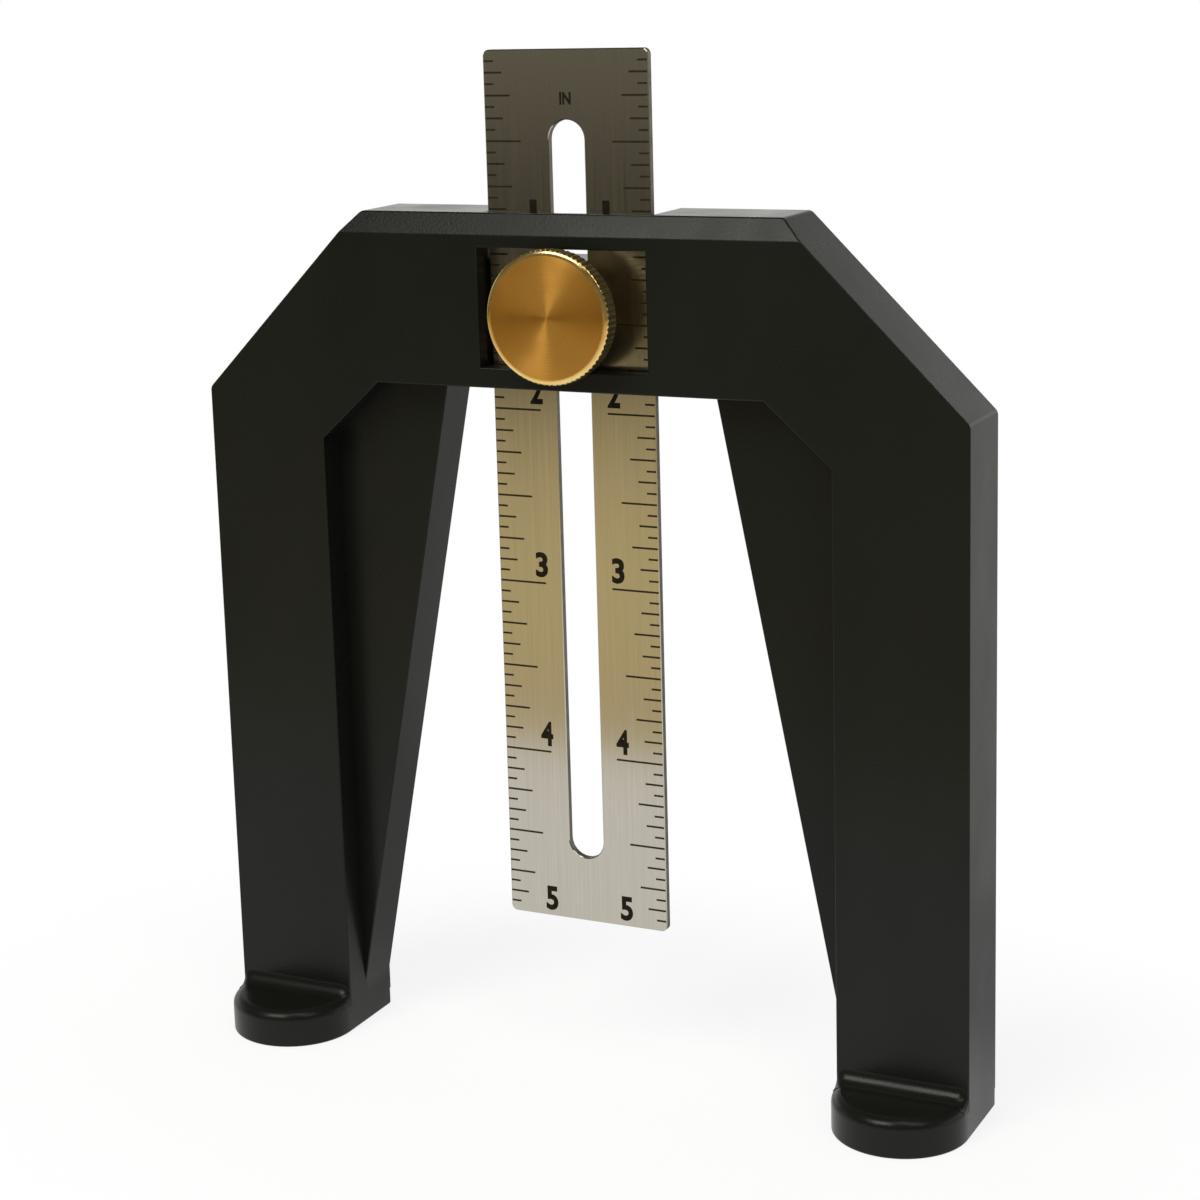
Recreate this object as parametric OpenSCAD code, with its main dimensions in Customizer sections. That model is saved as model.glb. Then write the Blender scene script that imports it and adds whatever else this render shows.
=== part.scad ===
// Self-standing depth gauge: a moulded arch, a slotted steel rule and a brass clamp screw.
// Millimetres, +Z up, X across the legs, the marked side of the rule faces -Y.
// The origin lies on the standing surface, at the centre of the footprint.

/* [Arch] */
// Width across the outsides of the legs
body_w = 118.5; // [100:0.5:140]
// Height of the crossbar's flat top
body_h = 127; // [115:0.5:150]
// Depth of the arch from front face to back face
body_d = 12.4; // [11:0.1:18]
// Sideways run of the slanted shoulder
shoulder_run = 26.5; // [15:0.5:32]
// Height of the slanted shoulder
shoulder_rise = 26.7; // [15:0.5:34]
// Radius of the arch's outer corners
corner_r = 1.2; // [0.4:0.1:3]
// Height of the crossbar
bar_h = 24.8; // [23.5:0.1:34]
// Width of each leg, seen from the front
leg_w = 19.4; // [15:0.1:24]
// Size of the slanted corner inside the opening
inner_chamfer = 10.4; // [4:0.2:14]
// Thickness of the web at the back of the opening
web_t = 7.6; // [4:0.1:7.9]
// Half width of the opening between the webs at the crossbar
web_top_x = 21.1; // [16:0.1:27]
// Half width of the opening between the webs at floor level
web_foot_x = 40.6; // [30:0.1:46]
// Height of the bevel along the crossbar's front top edge
bevel_h = 3; // [0.5:0.1:4.2]
// How far the bevel leans back
bevel_lean = 1.8; // [0.3:0.1:2.4]

/* [Feet] */
// Height of a foot
foot_h = 5.6; // [4.8:0.1:9]
// How far a foot stands out beyond each side of its leg
foot_lip = 0.15; // [0.1:0.05:2]
// How far the round nose reaches ahead of the front face
foot_reach = 10.2; // [10.1:0.1:16]
// Radius of the nose's upper edge
nose_edge_r = 1.3; // [0.3:0.1:1.5]
// Radius of the hollow fillet between nose and leg
foot_fillet_r = 1.6; // [0.5:0.1:4]

/* [Foot magnets] */
// Diameter of a magnet disc
magnet_d = 12; // [6:0.5:15]
// Thickness of a magnet disc
magnet_t = 3; // [1.5:0.1:3.6]
// How far a magnet sits above the sole
magnet_recess = 0.2; // [0.1:0.05:0.6]
// Glue gap round a magnet
magnet_gap = 0.08; // [0.05:0.01:0.2]

/* [Rule] */
// Length of the rule
rule_l = 127; // [110:0.5:155]
// Width of the rule
rule_w = 25.4; // [20:0.1:26]
// Thickness of the rule
rule_t = 1.2; // [0.6:0.1:2]
// Radius of the rule's corners
rule_corner_r = 0.9; // [0.3:0.1:3]
// Width of the long slot
slot_w = 5.5; // [5.2:0.1:7]
// Metal left between a slot end and the end of the rule
slot_margin = 9.7; // [6:0.1:14]
// Height of the rule's lower end above the floor
rule_rest_z = 22.6; // [0:0.1:60]

/* [Rule guide] */
// Wall of the crossbar ahead of the rule
guide_wall = 3; // [2:0.1:4]
// Room between the rule and the front wall when it is clamped
guide_play = 0.2; // [0.1:0.05:0.4]
// Side clearance between rule and guide
guide_side_gap = 0.35; // [0.1:0.05:0.6]
// Height of the window that shows the rule
window_h = 18; // [14:0.2:19]
// Height above the clamp axis of the bridge behind the rule, which takes the clamp load
bridge_rise = 7; // [5.5:0.1:8.5]
// Height of the window's lower rail
window_rail = 2; // [1.2:0.1:4]

/* [Clamp screw] */
// Diameter over the knurl
head_d = 19; // [14:0.2:24]
// Thickness of the knurled head
head_t = 3; // [2:0.1:5]
// Gap between the back of the head and the arch's front face
head_gap = 1.7; // [0.6:0.1:4]
// Number of knurl ridges
knurl_count = 72; // [36:1:90]
// Depth of the knurl
knurl_depth = 0.25; // [0.1:0.05:0.5]
// Depth of the plain edge below the knurl's grooves
knurl_edge = 0.05; // [0.03:0.01:0.3]
// Bevel between face and rim of the head
head_bevel = 0.55; // [0.2:0.05:0.9]
// Diameter of the hub behind the head
hub_d = 10; // [8:0.2:13]
// Diameter of the stud
stud_d = 4.8; // [4:0.1:5]
// Bevel on the stud's end
stud_tip = 0.6; // [0.2:0.1:1.2]
// How far the stud's end stays inside the back face
stud_back_gap = 1; // [0.3:0.1:2]
// Depth of the stud in the head
stud_grip = 5; // [3:0.1:5.5]
// Fit between stud and head
stud_fit = 0.02; // [0.01:0.01:0.05]

/* [Washer and insert] */
// Outer diameter of the washer
washer_d = 12; // [10:0.2:16]
// Thickness of the washer
washer_t = 1; // [0.5:0.1:1.4]
// Clearance of the washer round the stud
washer_gap = 0.2; // [0.1:0.05:0.4]
// Gap between washer and rule
washer_seat = 0.05; // [0.02:0.01:0.1]
// Outer diameter of the insert's shank
insert_d = 7; // [6.2:0.1:8.4]
// Diameter of the insert's flange
insert_flange_d = 9; // [8.6:0.1:10.4]
// Thickness of the insert's flange
insert_flange_t = 1; // [0.5:0.1:1.5]
// How far the flange sits inside the back face
insert_sink = 0.15; // [0.05:0.05:0.4]
// Wall of the bridge left ahead of the insert
insert_front_wall = 0.6; // [0.3:0.1:1.5]
// Running clearance between stud and thread
thread_gap = 0.05; // [0.02:0.01:0.1]
// Clearance between insert and arch
insert_gap = 0.03; // [0.02:0.01:0.06]

/* [Hidden] */

$fn = 96;
over = 1;                 // how far a cutting shape runs past what it cuts
arc_steps = 5;            // straight runs in a corner arc

half_w = body_w / 2;
leg_x = half_w - leg_w / 2;
leg_inner_x = half_w - leg_w;
bar_z = body_h - bar_h;
top_x = half_w - shoulder_run;
shoulder_z = body_h - shoulder_rise;

// The footprint runs from the noses to the back face and is centred on Y = 0.
front_y = (foot_reach - body_d) / 2;
back_y = front_y + body_d;
web_y = back_y - web_t;

foot_w = leg_w + 2 * foot_lip;
nose_r = foot_w / 2;
nose_y = front_y - foot_reach + nose_r;

guide_w = rule_w + 2 * guide_side_gap;
guide_y = front_y + guide_wall;
rule_y = guide_y + guide_play;
bridge_y = rule_y + rule_t;
clamp_z = bar_z + window_rail + window_h / 2;

head_back_y = front_y - head_gap;
head_y = head_back_y - head_t;
washer_back_y = rule_y - washer_seat;
washer_y = washer_back_y - washer_t;
stud_y = washer_y - stud_grip;
stud_end_y = back_y - stud_back_gap;
insert_back_y = back_y - insert_sink;
insert_y = bridge_y + insert_front_wall;

// Unit vector along v
function unit(v) = v / norm(v);

// Points of the arc of radius r that rounds corner b between its neighbours a and c
function corner_arc(a, b, c, r) =
    let (u = unit(a - b),
         w = unit(c - b),
         half = acos(u * w) / 2,
         centre = b + unit(u + w) * r / sin(half),
         from = b + u * r / tan(half) - centre,
         turn = sign(u.x * w.y - u.y * w.x) * (180 - 2 * half))
    [for (i = [0:arc_steps])
        let (s = -turn * i / arc_steps)
        centre + [from.x * cos(s) - from.y * sin(s), from.x * sin(s) + from.y * cos(s)]];

// Outline with its corners rounded: each point is [x, z, radius], and radius 0 stays sharp
function rounded(p) =
    [for (i = [0:len(p) - 1])
        let (a = p[(i + len(p) - 1) % len(p)], b = p[i], c = p[(i + 1) % len(p)])
        each b[2] == 0 ? [[b.x, b.y]]
                       : corner_arc([a.x, a.y], [b.x, b.y], [c.x, c.y], b[2])];

// Stands a flat outline in X and Z up and gives it depth d from plane y backwards
module slab(y, d) {
    translate([0, y + d, 0]) rotate([90, 0, 0]) linear_extrude(d) children();
}

// Round bar along Y on the clamp axis, from y0 to y1
module clamp_rod(d, y0, y1) {
    translate([0, y0, clamp_z]) rotate([-90, 0, 0]) cylinder(d = d, h = y1 - y0);
}

// Turned shape on the clamp axis: the outline holds [radius, distance behind the head's face]
module clamp_turned(outline) {
    translate([0, head_y, clamp_z]) rotate([-90, 0, 0]) rotate_extrude() polygon(outline);
}

// Upright rectangle in X and Z, centred across, from z0 to z1
module upright(w, z0, z1) {
    translate([-w / 2, z0]) square([w, z1 - z0]);
}

// Outside of the arch, down to the floor
module arch_outline() {
    polygon(rounded([[-half_w, 0, 0], [half_w, 0, 0],
                     [half_w, shoulder_z, corner_r], [top_x, body_h, corner_r],
                     [-top_x, body_h, corner_r], [-half_w, shoulder_z, corner_r]]));
}

// Opening between the webs, wider towards the floor
module web_opening() {
    slope = (web_foot_x - web_top_x) / bar_z;
    low_x = web_foot_x + slope * over;
    polygon([[-low_x, -over], [low_x, -over], [web_top_x, bar_z], [-web_top_x, bar_z]]);
}

// Opening between the legs on the front side, with slanted upper corners
module leg_opening() {
    x = leg_inner_x;
    c = inner_chamfer;
    polygon([[-x, -over], [x, -over], [x, bar_z - c], [x - c, bar_z], [c - x, bar_z], [-x, bar_z - c]]);
}

// Wedge that bevels the front top edge of the crossbar
module bevel_cut() {
    lean = bevel_lean / bevel_h;
    translate([-half_w, 0, 0]) rotate([90, 0, 90]) linear_extrude(body_w)
        polygon([[front_y - lean * over, body_h - bevel_h - over],
                 [front_y + lean * (bevel_h + over), body_h + over],
                 [front_y - lean * over, body_h + over]]);
}

// Foot with a round nose, a rounded upper edge and a hollow fillet up to the leg
module foot(x) {
    e = nose_edge_r;
    f = foot_fillet_r;
    translate([x, nose_y, 0]) rotate([0, 0, 180]) rotate_extrude(angle = 180) {
        square([nose_r - e, foot_h]);
        square([nose_r, foot_h - e]);
        translate([nose_r - e, foot_h - e]) circle(e);
    }
    translate([x - nose_r, nose_y, 0]) cube([foot_w, back_y - nose_y, foot_h - e]);
    translate([x - nose_r + e, nose_y, 0]) cube([foot_w - 2 * e, back_y - nose_y, foot_h]);
    for (s = [-1, 1])
        translate([x + s * (nose_r - e), back_y, foot_h - e])
            rotate([90, 0, 0]) cylinder(r = e, h = back_y - nose_y);
    translate([x - leg_w / 2, 0, 0]) rotate([90, 0, 90]) linear_extrude(leg_w)
        difference() {
            translate([front_y - f, foot_h - over]) square(f + over);
            translate([front_y - f, foot_h + f]) circle(f);
        }
}

// One-piece moulding: legs, crossbar, webs, feet, rule guide and clamp bridge
module arch_body() {
    color([0.12, 0.12, 0.12]) difference() {
        union() {
            difference() {
                slab(front_y, body_d) arch_outline();
                slab(front_y - over, body_d + 2 * over) web_opening();
                slab(front_y - over, body_d - web_t + over) leg_opening();
                bevel_cut();
            }
            for (s = [-1, 1])
                foot(s * leg_x);
        }
        // Window in front of the rule
        slab(front_y - over, guide_wall + 2 * over)
            upright(guide_w, clamp_z - window_h / 2, clamp_z + window_h / 2);
        // Guide for the rule, open above and below
        slab(guide_y, guide_play + rule_t) upright(guide_w, bar_z - over, body_h + over);
        // Room behind the rule, above the bridge
        slab(guide_y, body_d) upright(guide_w, clamp_z + bridge_rise, body_h + over);
        // Stepped hole for the insert and the stud's way through the bridge
        clamp_rod(stud_d + 2 * washer_gap, bridge_y - over, back_y);
        clamp_rod(insert_d + 2 * insert_gap, insert_y, back_y + over);
        clamp_rod(insert_flange_d + 2 * insert_gap, insert_back_y - insert_flange_t, back_y + over);
        // Magnet pockets in the soles
        for (s = [-1, 1])
            translate([s * leg_x, nose_y, -over])
                cylinder(d = magnet_d + 2 * magnet_gap, h = magnet_recess + magnet_t + over);
    }
}

// Steel rule with a long slot
module rule() {
    r = rule_corner_r;
    mid_z = rule_rest_z + rule_l / 2;
    slot_half = rule_l / 2 - slot_margin - slot_w / 2;
    color([0.74, 0.72, 0.66]) translate([0, 0, mid_z]) slab(rule_y, rule_t)
        difference() {
            union() {
                square([rule_w, rule_l - 2 * r], center = true);
                square([rule_w - 2 * r, rule_l], center = true);
                for (x = [-1, 1], z = [-1, 1])
                    translate([x * (rule_w / 2 - r), z * (rule_l / 2 - r)]) circle(r);
            }
            square([slot_w, 2 * slot_half], center = true);
            for (z = [-1, 1])
                translate([0, z * slot_half]) circle(d = slot_w);
        }
}

// Brass head with a straight knurl, bevelled edges and a hub bored for the stud
module thumbscrew_head() {
    r = head_d / 2;
    core_r = r - knurl_depth - knurl_edge;
    b = head_bevel;
    hub_end = washer_y - head_y;
    color([0.80, 0.62, 0.28]) difference() {
        union() {
            clamp_turned([[0, 0], [core_r - b, 0], [core_r, b], [core_r, head_t - b],
                          [core_r - b, head_t], [hub_d / 2, head_t], [hub_d / 2, hub_end], [0, hub_end]]);
            translate([0, 0, clamp_z]) slab(head_y + b, head_t - 2 * b)
                polygon([for (i = [0:2 * knurl_count - 1])
                    let (a = 180 * i / knurl_count, k = r - knurl_depth * (i % 2))
                    [k * cos(a), k * sin(a)]]);
        }
        clamp_rod(stud_d + 2 * stud_fit, stud_y - stud_fit, washer_y + over);
    }
}

// Steel stud, gripped in the head and running in the insert's thread
module thumbscrew_stud() {
    r = stud_d / 2;
    length = stud_end_y - stud_y;
    color([0.62, 0.62, 0.62]) translate([0, stud_y, clamp_z]) rotate([-90, 0, 0]) rotate_extrude()
        polygon([[0, 0], [r, 0], [r, length - stud_tip], [r - stud_tip, length], [0, length]]);
}

// Brass washer between hub and rule
module clamp_washer() {
    color([0.80, 0.66, 0.36]) difference() {
        clamp_rod(washer_d, washer_y, washer_back_y);
        clamp_rod(stud_d + 2 * washer_gap, washer_y - over, washer_back_y + over);
    }
}

// Flanged brass insert, drawn against the bridge from behind
module threaded_insert() {
    color([0.78, 0.60, 0.30]) difference() {
        union() {
            clamp_rod(insert_d, insert_y, insert_back_y);
            clamp_rod(insert_flange_d, insert_back_y - insert_flange_t, insert_back_y);
        }
        clamp_rod(stud_d + 2 * thread_gap, insert_y - over, insert_back_y + over);
    }
}

// Disc magnet in the sole of one foot: side is -1 for left, 1 for right
module magnet(side) {
    color([0.55, 0.55, 0.57])
        translate([side * leg_x, nose_y, magnet_recess]) cylinder(d = magnet_d, h = magnet_t);
}

module left_magnet() { magnet(-1); }
module right_magnet() { magnet(1); }

arch_body();
rule();
thumbscrew_head();
thumbscrew_stud();
clamp_washer();
threaded_insert();
left_magnet();
right_magnet();
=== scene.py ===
import math
import bmesh
import bpy
import numpy as np
from mathutils import Matrix, Vector


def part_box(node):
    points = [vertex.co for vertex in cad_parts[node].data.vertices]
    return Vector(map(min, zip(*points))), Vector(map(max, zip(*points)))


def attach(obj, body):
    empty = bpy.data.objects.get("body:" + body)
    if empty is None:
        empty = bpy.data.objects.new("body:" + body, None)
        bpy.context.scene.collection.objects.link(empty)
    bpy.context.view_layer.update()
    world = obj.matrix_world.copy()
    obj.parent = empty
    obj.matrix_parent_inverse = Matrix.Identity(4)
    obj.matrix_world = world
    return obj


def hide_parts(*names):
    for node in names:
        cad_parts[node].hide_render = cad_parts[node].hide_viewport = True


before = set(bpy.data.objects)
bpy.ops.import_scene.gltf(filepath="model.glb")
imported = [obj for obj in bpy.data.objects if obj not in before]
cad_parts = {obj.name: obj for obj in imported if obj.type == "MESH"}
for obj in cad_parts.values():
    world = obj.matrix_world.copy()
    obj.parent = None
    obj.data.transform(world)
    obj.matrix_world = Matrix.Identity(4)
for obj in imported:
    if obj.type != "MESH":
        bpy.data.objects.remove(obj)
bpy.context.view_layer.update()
print("frame loaded, nodes:", len(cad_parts))

# Depth gauge. Lengths are in millimetres until a mesh is written, which is in metres.
mm = 0.001
inchMm = 25.4
scene = bpy.context.scene
scene.view_settings.view_transform = "Standard"

# Distances for merging are in metres, pinched is in millimetres, turns are in degrees.
meshing = {"mergeWithin": 1e-6, "noEdge": 1e-7, "pinched": 1e-3, "flatTurn": 0.5, "smoothTurn": 32}


def boxMm(node):
    low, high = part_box(node)
    return np.array(low) / mm, np.array(high) / mm


def fullTurn(steps):
    return np.linspace(0, 2 * math.pi, steps, endpoint=False)


# Reads one value of every item in a mesh, as rows of the given width.
def readAll(items, key, width=1, kind=np.float32):
    values = np.empty(len(items) * width, kind)
    items.foreach_get(key, values)
    return values.reshape(-1, width)


# Quads between neighbouring rings of points; the columns close on themselves, the rows only if asked.
# The UV runs once round the columns (u) and once along the rows (v).
def ringQuads(rows, cols, wrapRows):
    r, c = np.meshgrid(np.arange(rows if wrapRows else rows - 1), np.arange(cols), indexing="ij")
    nextR, nextC = (r + 1) % rows, (c + 1) % cols
    quads = np.stack([r * cols + c, r * cols + nextC, nextR * cols + nextC, nextR * cols + c], -1)
    u = np.stack([c, c + 1, c + 1, c], -1) / cols
    v = np.stack([r, r, r + 1, r + 1], -1) / rows
    return quads.reshape(-1, 4), np.stack([u, v], -1).reshape(-1, 2)


# Merges doubles, drops faces of no area and turns every face outwards; flatten joins faces in one plane.
def closeUp(mesh, flatten=False):
    work = bmesh.new()
    work.from_mesh(mesh)
    bmesh.ops.remove_doubles(work, verts=work.verts, dist=meshing["mergeWithin"])
    bmesh.ops.dissolve_degenerate(work, edges=work.edges, dist=meshing["noEdge"])
    if flatten:
        flatTurn = math.radians(meshing["flatTurn"])
        bmesh.ops.dissolve_limit(work, angle_limit=flatTurn, verts=work.verts, edges=work.edges)
    bmesh.ops.recalc_face_normals(work, faces=work.faces)
    work.to_mesh(mesh)
    work.free()


# Smooth shading, with a crease at edges that turn by more than the angle.
def shadeSmooth(mesh, sharpTurn):
    mesh.polygons.foreach_set("use_smooth", np.ones(len(mesh.polygons), dtype=bool))
    mesh.set_sharp_from_angle(angle=math.radians(sharpTurn))


def placeMesh(name, mesh, sharpTurn=meshing["smoothTurn"]):
    shadeSmooth(mesh, sharpTurn)
    piece = bpy.data.objects.new(name, mesh)
    scene.collection.objects.link(piece)
    return piece


# Closed skin over rings of points [row, column, xyz]; open ends get a flat cap, pinched ends a pole.
def closedSkin(name, rings, wrapRows=False, sharpTurn=meshing["smoothTurn"]):
    rows, cols = rings.shape[:2]
    quads, uv = ringQuads(rows, cols, wrapRows)
    faces = quads.tolist()
    first, last = np.arange(cols), np.arange(cols) + (rows - 1) * cols
    for end, ring in ((first[::-1], rings[0]), (last, rings[-1])):
        if not wrapRows and np.ptp(ring, axis=0).max() > meshing["pinched"]:
            faces.append(end.tolist())
            uv = np.concatenate([uv, np.full((cols, 2), 0.5)])
    mesh = bpy.data.meshes.new(name)
    mesh.from_pydata((rings.reshape(-1, 3) * mm).tolist(), [], faces)
    mesh.uv_layers.new(name="UVMap").data.foreach_set("uv", uv.astype(np.float32).ravel())
    closeUp(mesh)
    return placeMesh(name, mesh, sharpTurn)


# Polyline with its corners rounded: every row is [a, b, radius], and each corner becomes an arc of few steps.
def softCorners(rows, steps=4, closed=False):
    p = np.array(rows, float)
    out = []
    for i in range(len(p)):
        here, radius = p[i, :2], p[i, 2]
        if radius <= 0 or (not closed and i in (0, len(p) - 1)):
            out.append(here[None])
            continue
        back, ahead = p[i - 1, :2] - here, p[(i + 1) % len(p), :2] - here
        back, ahead = back / np.linalg.norm(back), ahead / np.linalg.norm(ahead)
        half = math.acos(np.clip(back @ ahead, -1, 1)) / 2
        middle = here + (back + ahead) / np.linalg.norm(back + ahead) * radius / math.sin(half)
        start = here + back * radius / math.tan(half) - middle
        stop = here + ahead * radius / math.tan(half) - middle
        share = np.linspace(0, 1, steps + 1)[:, None]
        sweep = math.pi - 2 * half
        arc = np.sin((1 - share) * sweep) * start + np.sin(share * sweep) * stop
        out.append(middle + arc / math.sin(sweep))
    return np.concatenate(out)


# Runs the modifiers once and keeps their result as the piece's own mesh.
def keepModifiers(piece):
    graph = bpy.context.evaluated_depsgraph_get()
    made = bpy.data.meshes.new_from_object(piece.evaluated_get(graph), depsgraph=graph)
    old = piece.data
    piece.modifiers.clear()
    piece.data = made
    made.name = piece.name
    bpy.data.meshes.remove(old)


def combine(piece, other, operation):
    cut = piece.modifiers.new(operation.lower(), "BOOLEAN")
    cut.operation = operation
    cut.solver = "EXACT"
    cut.object = other
    keepModifiers(piece)
    bpy.data.objects.remove(other)


# Gives a piece its finishes, its body and the nodes that it stands for.
def dress(piece, body, slotName, looks, *nodes):
    faceLooks = readAll(piece.data.polygons, "material_index", kind=np.int32).ravel()
    piece.data.materials.clear()
    for look in looks:
        piece.data.materials.append(look)
    piece.data.polygons.foreach_set("material_index", faceLooks)
    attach(piece, body)
    if nodes:
        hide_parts(*nodes)


# Sets a node's sockets, or links them where the value is another node's socket.
def feed(tree, node, sockets):
    for key, value in sockets.items():
        if isinstance(value, bpy.types.NodeSocket):
            tree.links.new(value, node.inputs[key])
        else:
            node.inputs[key].default_value = value


def addNode(tree, kind, sockets=None, **settings):
    node = tree.nodes.new(kind)
    for key, value in settings.items():
        setattr(node, key, value)
    feed(tree, node, sockets or {})
    return node


def newFinish(name):
    material = bpy.data.materials.new(name)
    material.use_nodes = True
    tree = material.node_tree
    return material, tree, tree.nodes["Principled BSDF"]


def mathNode(tree, operation, first, second):
    return addNode(tree, "ShaderNodeMath", {0: first, 1: second}, operation=operation).outputs[0]


def mapRange(tree, value, source, target=(0.0, 1.0), **settings):
    sockets = {"Value": value, "From Min": source[0], "From Max": source[1],
               "To Min": target[0], "To Max": target[1]}
    return addNode(tree, "ShaderNodeMapRange", sockets, **settings).outputs[0]


# Blends two colours or colour sockets; 6, 7 and 2 are the colour sockets of a Mix node.
def mixColours(tree, factor, first, second):
    ends = [c if isinstance(c, bpy.types.NodeSocket) else (*c, 1) for c in (first, second)]
    return addNode(tree, "ShaderNodeMix", {0: factor, 6: ends[0], 7: ends[1]}, data_type="RGBA").outputs[2]


def bump(tree, height, strength, depth):
    sockets = {"Height": height, "Strength": strength, "Distance": depth}
    return addNode(tree, "ShaderNodeBump", sockets).outputs[0]


def uvTangent(tree):
    return addNode(tree, "ShaderNodeTangent", direction_type="UV_MAP", uv_map="UVMap").outputs[0]


noiseSpan = (0.3, 0.7)   # most of the noise lies between these


# Noise on Object coordinates; scale gives its features a metre along each axis.
def noise(tree, scale, detail):
    place = addNode(tree, "ShaderNodeTexCoord").outputs["Object"]
    stretched = addNode(tree, "ShaderNodeMapping", {"Vector": place, "Scale": scale})
    sockets = {"Vector": stretched.outputs[0], "Scale": 1.0, "Detail": detail}
    return addNode(tree, "ShaderNodeTexNoise", sockets).outputs[0]


def noiseRange(tree, scale, detail, target=(0.0, 1.0)):
    return mapRange(tree, noise(tree, scale, detail), noiseSpan, target)


plastic = {"dark": (0.0060, 0.0068, 0.0050), "pale": (0.0084, 0.0093, 0.0071), "cloud": (38, 38, 22),
           "roughness": (0.25, 0.33), "gloss": (120, 120, 60), "grain": (2600, 2600, 2600),
           "grainStrength": 0.5, "grainDepth": 0.000035, "ior": 1.28}


# Satin moulded plastic: cloudy flow tint, cloudy gloss and a fine even grain.
def blackPlastic(look):
    material, tree, shader = newFinish("black_plastic_satin")
    cloud = noiseRange(tree, look["cloud"], detail=4)
    grain = noise(tree, look["grain"], detail=2)
    feed(tree, shader, {
        "Base Color": mixColours(tree, cloud, look["dark"], look["pale"]),
        "Roughness": noiseRange(tree, look["gloss"], detail=5, target=look["roughness"]),
        "Normal": bump(tree, grain, look["grainStrength"], look["grainDepth"]),
        "IOR": look["ior"]})
    return material


steel = {"base": (0.47, 0.44, 0.375), "worn": (0.53, 0.50, 0.43), "roughness": (0.15, 0.21),
         "gloss": (2400, 300, 30), "anisotropic": 0.85, "lines": (9000, 400, 55), "lineStrength": 0.35,
         "lineDepth": 0.00001}


# Rolled steel: fine lines along the length (Z) carry tint and bump; the sheen spreads across them (u).
def brushedSteel(look):
    material, tree, shader = newFinish("satin_steel_brushed")
    line = noise(tree, look["lines"], detail=3)
    feed(tree, shader, {
        "Base Color": mixColours(tree, mapRange(tree, line, noiseSpan), look["base"], look["worn"]),
        "Roughness": noiseRange(tree, look["gloss"], detail=4, target=look["roughness"]),
        "Normal": bump(tree, line, look["lineStrength"], look["lineDepth"]),
        "Tangent": uvTangent(tree), "Metallic": 1.0, "Anisotropic": look["anisotropic"]})
    return material


spun = {"base": (0.60, 0.295, 0.055), "worn": (0.70, 0.365, 0.082), "roughness": (0.28, 0.35),
        "gloss": (300, 300, 300), "anisotropic": 0.9, "sheenTurn": 0.25, "rings": 9000.0, "ringStrength": 0.4,
        "ringDepth": 0.000008}


# Spun brass: noise on the distance from the clamp axis, which runs along Y, makes concentric turning lines.
def spunBrass(look, axisZ):
    material, tree, shader = newFinish("spun_brass_turned")
    place = addNode(tree, "ShaderNodeTexCoord").outputs["Object"]
    centring = {"Vector": place, "Location": (0, 0, -axisZ * mm), "Scale": (1, 0, 1)}
    centred = addNode(tree, "ShaderNodeMapping", centring)
    distance = addNode(tree, "ShaderNodeVectorMath", {0: centred.outputs[0]}, operation="LENGTH")
    spacing = {"W": distance.outputs["Value"], "Scale": look["rings"], "Detail": 3.0}
    ring = addNode(tree, "ShaderNodeTexNoise", spacing, noise_dimensions="1D").outputs[0]
    feed(tree, shader, {
        "Base Color": mixColours(tree, mapRange(tree, ring, noiseSpan), look["base"], look["worn"]),
        "Roughness": noiseRange(tree, look["gloss"], detail=4, target=look["roughness"]),
        "Normal": bump(tree, ring, look["ringStrength"], look["ringDepth"]),
        "Tangent": uvTangent(tree), "Metallic": 1.0, "Anisotropic": look["anisotropic"],
        "Anisotropic Rotation": look["sheenTurn"]})
    return material


plating = {"cloud": (420, 420, 420), "gloss": (900, 900, 900), "tooth": (5200, 5200, 5200),
           "toothStrength": 0.3}


# Plated or stamped metal: cloudy tint and gloss with a fine tooth.
def platedMetal(name, base, worn, roughness, toothDepth):
    material, tree, shader = newFinish(name)
    cloud = noiseRange(tree, plating["cloud"], detail=5)
    tooth = noise(tree, plating["tooth"], detail=2)
    feed(tree, shader, {
        "Base Color": mixColours(tree, cloud, base, worn),
        "Roughness": noiseRange(tree, plating["gloss"], detail=4, target=roughness),
        "Normal": bump(tree, tooth, plating["toothStrength"], toothDepth),
        "Metallic": 1.0})
    return material


# Two colours each for digits and lines: fresh and worn fill.
ink = {"digits": [(0.006, 0.004, 0.002), (0.016, 0.011, 0.005)],
       "lines": [(0.013, 0.009, 0.004), (0.030, 0.022, 0.009)],
       "patch": (1800, 1800, 1800), "gloss": (2500, 2500, 2500), "roughness": (0.55, 0.75), "ior": 1.2}


# Etched and filled: slightly patchy where the fill has worn.
def etchInk(look, which):
    material, tree, shader = newFinish("etched_" + which)
    patch = noiseRange(tree, look["patch"], detail=4)
    feed(tree, shader, {
        "Base Color": mixColours(tree, patch, *look[which]),
        "Roughness": noiseRange(tree, look["gloss"], detail=3, target=look["roughness"]),
        "IOR": look["ior"]})
    return material


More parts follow.
